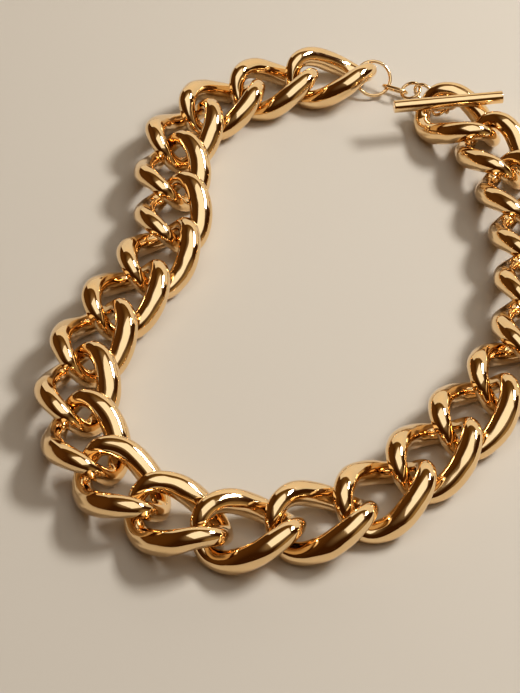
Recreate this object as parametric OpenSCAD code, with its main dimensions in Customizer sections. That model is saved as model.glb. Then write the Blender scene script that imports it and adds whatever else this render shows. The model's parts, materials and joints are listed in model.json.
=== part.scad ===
// Chunky curb-link chain necklace laid flat, closed by a toggle bar on a train of small rings.
// Millimetres, +Z up, the chain resting on Z = 0.

/* [Link] */
// Length of one curb link, end to end
link_length = 27; // [26:0.1:28]
// Width of one curb link across its two arms
link_width = 21.5; // [21:0.1:23]
// Thickness of the tube in the middle of an arm
arm_d = 6.2; // [5.4:0.1:6.3]
// Thickness of the tube where it rounds an end
end_d = 4.3; // [3.6:0.1:4.4]
// Squareness of the oval outline, where 2 is a plain ellipse
oval_power = 2.6; // [2.4:0.1:3]
// Twist of each end out of the flat, in degrees
end_twist = 50; // [48:1:54]

/* [Chain] */
// Distance from one interlock to the next
pitch = 17.3; // [17:0.1:17.8]
// Direction in which the first link runs, in degrees
first_heading = 189; // [186:1:192]

/* [Clasp] */
// Length of the toggle bar
bar_length = 31.5; // [24:0.5:36]
// Thickness of the toggle bar
bar_d = 3.6; // [3:0.1:4]
// Wire thickness of every ring of the clasp
wire_d = 1; // [0.8:0.05:1.1]
// Centreline radius of the large jump ring
jump_r = 5.1; // [5:0.05:5.2]
// Centreline radius of each small ring
small_r = 2.8; // [2.75:0.05:2.85]
// Centreline radius of the rounded ends of the oval ring
oval_r = 1.75; // [1.6:0.05:1.9]
// Centreline radius of the loop soldered to the bar
loop_r = 1.8; // [1.7:0.05:1.9]

/* [Hidden] */
link_count = 25;
small_count = 5;
gold = [0.86, 0.66, 0.27];

// Turn from each link to the next, in degrees
turns = [12, 16, 29, 27, -1, -25, -8, 11, 19, 22, 24, 18,
         33, 9, 25, 9, 5, -4, 33, 0, 11, 6, 8, 31];
// Free end of the first link, on the ground plan
chain_start = [15.5, 85.5];

// Points where one clasp ring hooks the next, from the jump ring to the bar's loop
hooks = [[23.3, 83.5, 2.8], [28.5, 80.8, 3], [32.3, 80.3, 4.3], [35.8, 78.2, 3.8],
         [37.7, 74.6, 3.6], [39.3, 70.7, 4.7], [39.4, 67.9, 7.5]];
// Roll of each ring about the line between its two hooks, in degrees
rolls = [130, 14, 92, -13, 41, 4];
jump_centre = [19.5, 84.9, 4.8];
bar_centre = [39.8, 66.05, 11.2];
bar_heading = 8;
// Wire overlap at the two ends of the oval ring, past its hook points
oval_reach = 1.3;
// Direction of the loop from the bar's axis, in degrees below level, towards the back
loop_lean = 60;
// Depth to which the loop is sunk into the bar where it is soldered
solder_depth = 0.7;

// Mesh steps: around a link's outline, around its tube, and around the oval ring's wire
link_steps = 32;
tube_sides = 10;
bend_steps = 10;
wire_sides = 8;
taper_power = 1.5;

half_l = (link_length - end_d) / 2;
half_w = (link_width - arm_d) / 2;

function unit(v) = v / norm(v);
function signed_pow(v, p) = sign(v) * pow(abs(v), p);
function two_digits(i) = str(i < 10 ? "0" : "", i);
function link_name(i) = str("curb_link_", two_digits(i + 1));
function small_name(i) = str("small_ring_", i + 1);

// Centreline of a twisted link: a squarish oval whose ends lean opposite ways
function link_x(t) = half_l * signed_pow(cos(t), 2 / oval_power);
function link_y(t) = half_w * signed_pow(sin(t), 2 / oval_power);
function link_tilt(t) = -end_twist * link_x(t) / half_l;
function link_point(t) = [link_x(t), link_y(t) * cos(link_tilt(t)), link_y(t) * sin(link_tilt(t))];
function link_along(t) = unit(link_point(t + 1) - link_point(t - 1));
function link_r(t) = (arm_d + (end_d - arm_d) * pow(abs(cos(t)), taper_power)) / 2;

// One ring of points round a centreline: square to "along", starting towards "lift"
function tube_ring(centre, along, lift, radius, sides) =
    let (up = unit(lift - (lift * along) * along), side = cross(along, up))
    [for (j = [0 : sides - 1])
        let (a = 360 * j / sides)
        centre + radius * (cos(a) * up + sin(a) * side)];

link_rings = [for (i = [0 : link_steps - 1])
    let (t = 360 * i / link_steps, tilt = link_tilt(t))
    tube_ring(link_point(t), link_along(t), [0, -sin(tilt), cos(tilt)], link_r(t), tube_sides)];

// Height of a link's middle that leaves its lowest point on the ground
rest_height = -min([for (t = [0 : 2 : 358]) link_point(t)[2] - link_r(t)]);

// Heading of every link, and the interlock points between them
headings = [for (i = 0, a = first_heading; i < link_count; a = a + (i < len(turns) ? turns[i] : 0),
    i = i + 1) a];
interlocks = [for (i = 0, p = chain_start; i <= link_count;
    p = i < link_count ? p + pitch * [cos(headings[i]), sin(headings[i])] : p, i = i + 1) p];

// Skin over a closed run of point rings
module closed_tube(rings) {
    steps = len(rings);
    sides = len(rings[0]);
    polyhedron(
        points = [for (ring = rings) each ring],
        faces = [for (i = [0 : steps - 1], j = [0 : sides - 1])
            let (k = (i + 1) % steps, m = (j + 1) % sides)
            each [[i * sides + j, i * sides + m, k * sides + j],
                  [i * sides + m, k * sides + m, k * sides + j]]]
    );
}

module curb_link(i) {
    middle = (interlocks[i] + interlocks[i + 1]) / 2;
    color(gold)
        translate([middle[0], middle[1], rest_height])
            rotate([0, 0, headings[i]])
                closed_tube(link_rings);
}

module wire_circle(radius) {
    rotate_extrude($fn = 48)
        translate([radius, 0, 0])
            circle(d = wire_d, $fn = 16);
}

module jump_ring() {
    color(gold)
        translate(jump_centre)
            rotate([end_twist - 90, 0, first_heading])
                wire_circle(jump_r);
}

// Carries a ring drawn in the XY plane, long way along X, to hang between two hooks
module between_hooks(k) {
    span = hooks[k + 1] - hooks[k];
    flat_run = norm([span[0], span[1]]);
    translate((hooks[k] + hooks[k + 1]) / 2)
        rotate([rolls[k], -atan2(span[2], flat_run), atan2(span[1], span[0])])
            children();
}

// Oval ring: two half circles of wire joined by straight sides
module connector_ring() {
    straight = norm(hooks[1] - hooks[0]) + oval_reach - 2 * oval_r;
    path = [for (side = [0, 1], i = [0 : bend_steps])
        let (a = 180 * (side + i / bend_steps) - 90, shift = (side == 0 ? 1 : -1) * straight / 2)
        tube_ring([shift + oval_r * cos(a), oval_r * sin(a), 0], [-sin(a), cos(a), 0], [0, 0, 1],
            wire_d / 2, wire_sides)];
    color(gold)
        between_hooks(0)
            closed_tube(path);
}

module small_ring(i) {
    color(gold)
        between_hooks(i + 1)
            wire_circle(small_r);
}

module toggle_bar() {
    color(gold)
        translate(bar_centre)
            rotate([0, 90, bar_heading])
                cylinder(d = bar_d, h = bar_length, center = true, $fn = 32);
}

// Loop soldered to the middle of the bar, behind and below it, square to its length
module toggle_loop() {
    reach = bar_d / 2 + loop_r + wire_d / 2 - solder_depth;
    color(gold)
        translate(bar_centre)
            rotate([-loop_lean, 0, bar_heading])
                translate([0, reach, 0])
                    rotate([0, 90, 0])
                        wire_circle(loop_r);
}

for (i = [0 : link_count - 1])
    curb_link(i);
jump_ring();
connector_ring();
for (i = [0 : small_count - 1])
    small_ring(i);
toggle_bar();
toggle_loop();
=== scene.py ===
import json
import math

import bpy
import numpy as np
from mathutils import Matrix, Vector, noise


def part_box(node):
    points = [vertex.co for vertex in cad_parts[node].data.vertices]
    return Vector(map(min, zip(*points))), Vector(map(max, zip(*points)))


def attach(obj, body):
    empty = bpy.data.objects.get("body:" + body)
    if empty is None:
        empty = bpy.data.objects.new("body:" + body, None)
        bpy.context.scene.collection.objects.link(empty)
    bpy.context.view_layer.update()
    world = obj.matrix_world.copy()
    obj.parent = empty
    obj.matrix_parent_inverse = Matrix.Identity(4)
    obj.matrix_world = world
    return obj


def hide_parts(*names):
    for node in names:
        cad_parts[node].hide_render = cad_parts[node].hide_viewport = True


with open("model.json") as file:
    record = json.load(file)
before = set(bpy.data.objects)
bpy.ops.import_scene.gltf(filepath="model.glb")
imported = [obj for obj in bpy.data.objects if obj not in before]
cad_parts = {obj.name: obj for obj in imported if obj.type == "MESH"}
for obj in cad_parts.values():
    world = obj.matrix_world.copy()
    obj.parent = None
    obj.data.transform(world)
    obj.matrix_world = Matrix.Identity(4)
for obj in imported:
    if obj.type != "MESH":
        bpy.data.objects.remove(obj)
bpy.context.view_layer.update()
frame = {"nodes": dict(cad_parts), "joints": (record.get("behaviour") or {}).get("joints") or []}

# ---------------------------------------------------------------- sizes, in metres and degrees
LINK_COUNT = 25
MIDDLE_LINK = 13           # the link that the chain's two sides fold from
LINK_LENGTH = 0.027
LINK_WIDTH = 0.0215
ARM_D = 0.0062
END_D = 0.0043
OVAL_POWER = 2.6
END_TWIST = 50.0
TAPER_POWER = 1.5
WAVER = 0.0002             # unevenness of a link's skin
WAVER_SCALE = 170.0        # its waves to a metre
NOISE_STRIDE = (7.3, 3.1, 5.7)  # step through the noise from each link to the next

WIRE_R = 0.0005
JUMP_R = 0.0051
SMALL_COUNT = 5
SMALL_R = 0.0028
OVAL_R = 0.00175
LOOP_R = 0.0018
SEAM = 0.03                # gap where a bent ring closes, in radians
BAR_R = 0.0018
BAR_EASE = 0.00022         # rounding of the bar's edges

# ---------------------------------------------------------------- mesh steps
FINE_STEPS = 2880          # for measuring along a link's centreline
TANGENT_STEP = 0.02
LINK_STEPS = 144
LINK_SIDES = 44
WIRE_SIDES = 20
RING_STEPS = 96
BEND_STEPS = 24
LOOP_STEPS = 64
BAR_SIDES = 64
EASE_STEPS = 6

# ---------------------------------------------------------------- looks
# Clouds of noise: scale, detail, roughness
TONE_CLOUD = (160.0, 3.0, 0.5)
HAZE_CLOUD = (420.0, 4.0, 0.6)
WAVER_CLOUD = (WAVER_SCALE, 0.0, 0.5)
GRAIN_CLOUD = (2600.0, 3.0, 0.5)

GOLD_RED = (0.91, 0.665, 0.375, 1)
GOLD_PALE = (0.95, 0.71, 0.42, 1)
TONE_RANGE = (0.3, 0.7)    # cloud values at which the gold is reddest and palest
HAZE_RANGE = (0.3, 0.75)   # cloud values at which it is clearest and haziest
ROUGHNESS = (0.045, 0.12)
LINK_WAVER = 0.15
WIRE_WAVER = 0.03
WAVER_DEPTH = 0.0027
GRAIN = 0.03
GRAIN_DEPTH = 0.0001

FLOOR_HALF = 2.0
FLOOR_COLOUR = (0.612, 0.5624, 0.4848, 1)
FLOOR_ROUGHNESS = 0.9

# Panels 1 m from the necklace: azimuth, elevation, width, height, radiance, colour
PANELS = {
    "key": (20, 45, 0.34, 0.17, 42, (0.98, 0.98, 0.98)),
    "overhead": (308, 74, 1.05, 1.05, 0.72, (0.955, 1.0, 1.05)),
    "back_wall": (72, 18, 2.30, 0.95, 0.62, (1.0, 0.935, 0.81)),
}

# The rest of the room is dark, with soft warm glows: azimuth, elevation, spread, colour
ROOM_COLOUR = (0.044, 0.0168, 0.003, 1)
GLOWS = (
    (165, 12, 60, (0.05, 0.026, 0.008)),
    (75, 48, 45, (0.08, 0.051, 0.017)),
    (308, 74, 50, (0.24, 0.20, 0.135)),
    (325, 2, 35, (0.25, 0.19, 0.10)),
)

CAMERA_TARGET = (-0.0138, -0.0195, 0.0)
CAMERA_ELEVATION = 46.4
CAMERA_DISTANCE = 0.475
CAMERA_LENS = 95.94
SENSOR_WIDTH = 36.0
CLIP_START = 0.01


# ---------------------------------------------------------------- what the CAD says
def joint_place(name):
    """Point that the record's joint of that name turns about."""
    return Vector(next(j for j in frame["joints"] if j["name"] == name)["pos_m"])


def box_centre(node):
    low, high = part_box(node)
    return (Vector(low) + Vector(high)) / 2


def cad_points(node):
    return np.array([v.co[:] for v in frame["nodes"][node].data.vertices])


def cad_axes(node):
    """Centre, and the longest, middle and shortest axes, of a CAD node."""
    points = cad_points(node)
    centre = (points.min(axis=0) + points.max(axis=0)) / 2
    values, columns = np.linalg.eigh(np.cov((points - points.mean(axis=0)).T))
    axes = []
    for k in np.argsort(values)[::-1]:
        axis = columns[:, k]
        axes.append(Vector(axis * np.sign(axis[np.abs(axis).argmax()])).normalized())
    return Vector(centre), axes


def half_length(node, centre, axis):
    """How far a CAD node reaches from its centre along an axis."""
    return np.abs((cad_points(node) - np.array(centre)) @ np.array(axis)).max()


# ---------------------------------------------------------------- meshes
def make_mesh(name, verts, faces):
    """Smooth-shaded mesh whose flat caps, the faces of more than four corners, stay flat."""
    mesh = bpy.data.meshes.new(name)
    mesh.from_pydata([tuple(v) for v in verts], [], faces)
    for polygon in mesh.polygons:
        polygon.use_smooth = len(polygon.vertices) <= 4
    mesh.update()
    return mesh


def tube_faces(steps, sides, closed):
    """Faces of a skin over rings of points: round to the first ring, or open and capped."""
    faces = []
    for i in range(steps if closed else steps - 1):
        k = (i + 1) % steps
        for j in range(sides):
            m = (j + 1) % sides
            faces.append((i * sides + j, i * sides + m, k * sides + m, k * sides + j))
    if not closed:
        last = (steps - 1) * sides
        faces += [tuple(reversed(range(sides))), tuple(range(last, last + sides))]
    return faces


def signed_power(value, power):
    return math.copysign(abs(value) ** power, value)


def link_point(t):
    """Centreline of a curb link, a squarish oval whose ends lean opposite ways, and its lean."""
    x = (LINK_LENGTH - END_D) / 2 * signed_power(math.cos(t), 2 / OVAL_POWER)
    y = (LINK_WIDTH - ARM_D) / 2 * signed_power(math.sin(t), 2 / OVAL_POWER)
    tilt = -math.radians(END_TWIST) * x / ((LINK_LENGTH - END_D) / 2)
    return Vector((x, y * math.cos(tilt), y * math.sin(tilt))), tilt


def link_rings():
    """Point, two cross directions and radius at equal steps along a link's tube."""
    line = [link_point(2 * math.pi * i / FINE_STEPS)[0] for i in range(FINE_STEPS + 1)]
    run = [0.0]
    for a, b in zip(line, line[1:]):
        run.append(run[-1] + (b - a).length)
    ts = np.interp(np.linspace(0, run[-1], LINK_STEPS, endpoint=False), run,
                   np.linspace(0, 2 * math.pi, FINE_STEPS + 1))
    rings = []
    for t in ts:
        p, tilt = link_point(t)
        along = (link_point(t + TANGENT_STEP)[0] - link_point(t - TANGENT_STEP)[0]).normalized()
        lift = Vector((0, -math.sin(tilt), math.cos(tilt)))
        up = (lift - lift.dot(along) * along).normalized()
        r = (ARM_D + (END_D - ARM_D) * abs(math.cos(t)) ** TAPER_POWER) / 2
        rings.append((p, up, along.cross(up), r))
    return rings


def link_mesh(rings, number):
    """One link, its tube a little uneven from hand polishing, and no two alike."""
    shift = Vector([number * stride for stride in NOISE_STRIDE])
    verts = []
    for p, up, side, r in rings:
        for j in range(LINK_SIDES):
            a = 2 * math.pi * j / LINK_SIDES
            out = math.cos(a) * up + math.sin(a) * side
            skin = p + r * out
            verts.append(skin + WAVER * noise.noise(WAVER_SCALE * skin + shift) * out)
    return make_mesh(f"curb_link_{number:02d}", verts, tube_faces(LINK_STEPS, LINK_SIDES, True))


def wire_mesh(name, path, closed):
    """Round wire along a path in the XY plane, given as (point, tangent) pairs."""
    verts = []
    for p, along in path:
        side = Vector((0, 0, 1)).cross(along)
        for j in range(WIRE_SIDES):
            a = 2 * math.pi * j / WIRE_SIDES
            verts.append(p + WIRE_R * (math.cos(a) * side + math.sin(a) * Vector((0, 0, 1))))
    return make_mesh(name, verts, tube_faces(len(path), WIRE_SIDES, closed))


def arc_path(radius, start, end, steps, shift=0.0):
    """(point, tangent) pairs along an arc whose centre is that far along X."""
    path = []
    for i in range(steps + 1):
        a = start + (end - start) * i / steps
        point = Vector((radius * math.cos(a), radius * math.sin(a), 0))
        path.append((point + Vector((shift, 0, 0)), Vector((-math.sin(a), math.cos(a), 0))))
    return path


def bar_mesh(name, half):
    """Turned rod along X with eased edges at its flat ends."""
    profile = []
    for k in range(EASE_STEPS + 1):
        a = math.pi / 2 * k / EASE_STEPS
        profile.append((-half + BAR_EASE * (1 - math.cos(a)),
                        BAR_R - BAR_EASE + BAR_EASE * math.sin(a)))
    profile += [(-x, r) for x, r in reversed(profile)]
    turns = [2 * math.pi * j / BAR_SIDES for j in range(BAR_SIDES)]
    verts = [(x, r * math.cos(a), r * math.sin(a)) for x, r in profile for a in turns]
    return make_mesh(name, verts, tube_faces(len(profile), BAR_SIDES, False))


def square_on(x_axis, z_axis, origin):
    """Matrix that carries X and Z to two axes square to each other, at the origin given."""
    matrix = Matrix((x_axis, z_axis.cross(x_axis), z_axis)).transposed().to_4x4()
    matrix.translation = origin
    return matrix


def placed(name, mesh, material, matrix, body, node):
    """Puts a piece where its CAD node is, in that node's stead."""
    mesh.materials.append(material)
    mesh.transform(matrix)
    obj = bpy.data.objects.new(name, mesh)
    bpy.context.scene.collection.objects.link(obj)
    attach(obj, body)
    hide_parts(node)


# ---------------------------------------------------------------- material
def gold_material(name, waver_strength):
    mat = bpy.data.materials.new(name)
    mat.use_nodes = True
    nodes, links = mat.node_tree.nodes, mat.node_tree.links
    shader = nodes["Principled BSDF"]
    shader.inputs["Metallic"].default_value = 1.0
    coords = nodes.new("ShaderNodeTexCoord")

    def cloud(scale, detail, rough):
        n = nodes.new("ShaderNodeTexNoise")
        n.inputs["Scale"].default_value = scale
        n.inputs["Detail"].default_value = detail
        n.inputs["Roughness"].default_value = rough
        links.new(coords.outputs["Object"], n.inputs["Vector"])
        return n.outputs["Fac"]

    def bump(height, strength, distance):
        n = nodes.new("ShaderNodeBump")
        n.inputs["Strength"].default_value = strength
        n.inputs["Distance"].default_value = distance
        links.new(height, n.inputs["Height"])
        return n

    # Plating a little redder or paler from place to place
    ramp = nodes.new("ShaderNodeValToRGB")
    for stop, place, colour in zip(ramp.color_ramp.elements, TONE_RANGE, (GOLD_RED, GOLD_PALE)):
        stop.position = place
        stop.color = colour
    links.new(cloud(*TONE_CLOUD), ramp.inputs["Fac"])
    links.new(ramp.outputs["Color"], shader.inputs["Base Color"])

    # Mirror polish, very slightly hazed in patches
    spread = nodes.new("ShaderNodeMapRange")
    spread.inputs["From Min"].default_value = HAZE_RANGE[0]
    spread.inputs["From Max"].default_value = HAZE_RANGE[1]
    spread.inputs["To Min"].default_value = ROUGHNESS[0]
    spread.inputs["To Max"].default_value = ROUGHNESS[1]
    links.new(cloud(*HAZE_CLOUD), spread.inputs["Value"])
    links.new(spread.outputs["Result"], shader.inputs["Roughness"])

    # Slow waver left by hand polishing, under a finer grain
    waver = bump(cloud(*WAVER_CLOUD), waver_strength, WAVER_DEPTH)
    grain = bump(cloud(*GRAIN_CLOUD), GRAIN, GRAIN_DEPTH)
    links.new(waver.outputs["Normal"], grain.inputs["Normal"])
    links.new(grain.outputs["Normal"], shader.inputs["Normal"])
    return mat


GOLD = gold_material("polished_gold", LINK_WAVER)
WIRE_GOLD = gold_material("polished_gold_wire", WIRE_WAVER)

# ---------------------------------------------------------------- the chain
# Interlock i is between link i and link i + 1
interlocks = {}
for k in range(1, MIDDLE_LINK):
    interlocks[MIDDLE_LINK - k] = joint_place(f"fold_{k:02d}_left")
    interlocks[MIDDLE_LINK - 1 + k] = joint_place(f"fold_{k:02d}_right")

rings = link_rings()
for i in range(1, LINK_COUNT + 1):
    node = f"curb_link_{i:02d}"
    centre = box_centre(node)
    ahead = interlocks[i] if i < LINK_COUNT else 2 * centre - interlocks[i - 1]
    run = ahead - centre
    matrix = Matrix.Translation(centre) @ Matrix.Rotation(math.atan2(run.y, run.x), 4, "Z")
    placed(f"gold_link_{i:02d}", link_mesh(rings, i), GOLD, matrix, f"link_{i:02d}", node)

# ---------------------------------------------------------------- the clasp
ring_radii = {"jump_ring": JUMP_R}
ring_radii.update({f"small_ring_{k}": SMALL_R for k in range(1, SMALL_COUNT + 1)})
for node, radius in ring_radii.items():
    centre, axes = cad_axes(node)
    path = arc_path(radius, SEAM / 2, 2 * math.pi - SEAM / 2, RING_STEPS)
    matrix = square_on(axes[2].orthogonal().normalized(), axes[2], centre)
    placed(node + "_wire", wire_mesh(node + "_wire", path, False), WIRE_GOLD, matrix, node, node)

# The connector is two half circles of wire joined by straight sides
node = "connector_ring"
centre, axes = cad_axes(node)
shift = half_length(node, centre, axes[0]) - OVAL_R - WIRE_R
path = arc_path(OVAL_R, -math.pi / 2, math.pi / 2, BEND_STEPS, shift)
path += arc_path(OVAL_R, math.pi / 2, 3 * math.pi / 2, BEND_STEPS, -shift)
placed(node + "_wire", wire_mesh(node + "_wire", path, True), WIRE_GOLD,
       square_on(axes[0], axes[2], centre), node, node)

node = "toggle_bar"
centre, axes = cad_axes(node)
rod = bar_mesh("toggle_bar_rod", half_length(node, centre, axes[0]))
placed("toggle_bar_rod", rod, WIRE_GOLD,
       square_on(axes[0], Vector((0, 0, 1)), centre), "toggle", node)

node = "toggle_loop"
centre, axes = cad_axes(node)
path = arc_path(LOOP_R, 0, 2 * math.pi * (1 - 1 / LOOP_STEPS), LOOP_STEPS - 1)
placed("toggle_loop_wire", wire_mesh("toggle_loop_wire", path, True), WIRE_GOLD,
       square_on(axes[2].orthogonal().normalized(), axes[2], centre), "toggle", node)

# ---------------------------------------------------------------- floor
corners = [(x * FLOOR_HALF, y * FLOOR_HALF, 0) for x, y in ((-1, -1), (1, -1), (1, 1), (-1, 1))]
mesh = make_mesh("floor", corners, [(0, 1, 2, 3)])
floor = bpy.data.objects.new("floor", mesh)
bpy.context.scene.collection.objects.link(floor)
mat = bpy.data.materials.new("pale_floor")
mat.use_nodes = True
shader = mat.node_tree.nodes["Principled BSDF"]
shader.inputs["Base Color"].default_value = FLOOR_COLOUR
shader.inputs["Roughness"].default_value = FLOOR_ROUGHNESS
mesh.materials.append(mat)


# ---------------------------------------------------------------- lights
def direction(azimuth, elevation):
    """Unit vector from the necklace; azimuth runs from +X towards +Y."""
    a, e = math.radians(azimuth), math.radians(elevation)
    return Vector((math.cos(e) * math.cos(a), math.cos(e) * math.sin(a), math.sin(e)))


def softbox(name, azimuth, elevation, width, height, radiance, colour):
    """A panel of even light, facing the necklace."""
    place = direction(azimuth, elevation)
    data = bpy.data.lights.new(name, "AREA")
    data.shape = "RECTANGLE"
    data.size = width
    data.size_y = height
    data.energy = radiance * math.pi * width * height
    data.color = colour
    obj = bpy.data.objects.new(name, data)
    bpy.context.scene.collection.objects.link(obj)
    obj.location = place
    obj.rotation_euler = (-place).to_track_quat("-Z", "Y").to_euler()
    obj.visible_camera = False


for name, panel in PANELS.items():
    softbox(name, *panel)

world = bpy.data.worlds.new("studio")
bpy.context.scene.world = world
world.use_nodes = True
nodes, links = world.node_tree.nodes, world.node_tree.links
sight = nodes.new("ShaderNodeTexCoord").outputs["Generated"]
total = nodes.new("ShaderNodeRGB").outputs["Color"]
total.default_value = ROOM_COLOUR
for azimuth, elevation, spread, colour in GLOWS:
    facing = nodes.new("ShaderNodeVectorMath")
    facing.operation = "DOT_PRODUCT"
    links.new(sight, facing.inputs[0])
    facing.inputs[1].default_value = direction(azimuth, elevation)
    fade = nodes.new("ShaderNodeMapRange")
    fade.interpolation_type = "SMOOTHSTEP"
    fade.inputs["From Min"].default_value = math.cos(math.radians(spread))
    links.new(facing.outputs["Value"], fade.inputs["Value"])
    glow = nodes.new("ShaderNodeVectorMath")
    glow.operation = "SCALE"
    glow.inputs[0].default_value = colour
    links.new(fade.outputs["Result"], glow.inputs["Scale"])
    add = nodes.new("ShaderNodeVectorMath")
    links.new(total, add.inputs[0])
    links.new(glow.outputs["Vector"], add.inputs[1])
    total = add.outputs["Vector"]
links.new(total, nodes["Background"].inputs["Color"])

# ---------------------------------------------------------------- camera
cam_data = bpy.data.cameras.new("camera")
cam_data.lens = CAMERA_LENS
cam_data.sensor_width = SENSOR_WIDTH
cam_data.clip_start = CLIP_START
camera = bpy.data.objects.new("camera", cam_data)
bpy.context.scene.collection.objects.link(camera)
e = math.radians(CAMERA_ELEVATION)
target = Vector(CAMERA_TARGET)
camera.location = target + CAMERA_DISTANCE * Vector((0, -math.cos(e), math.sin(e)))
camera.rotation_euler = (target - camera.location).to_track_quat("-Z", "Y").to_euler()
bpy.context.scene.camera = camera
bpy.context.scene.view_settings.view_transform = "Standard"
bpy.context.scene.view_settings.look = "Medium High Contrast"
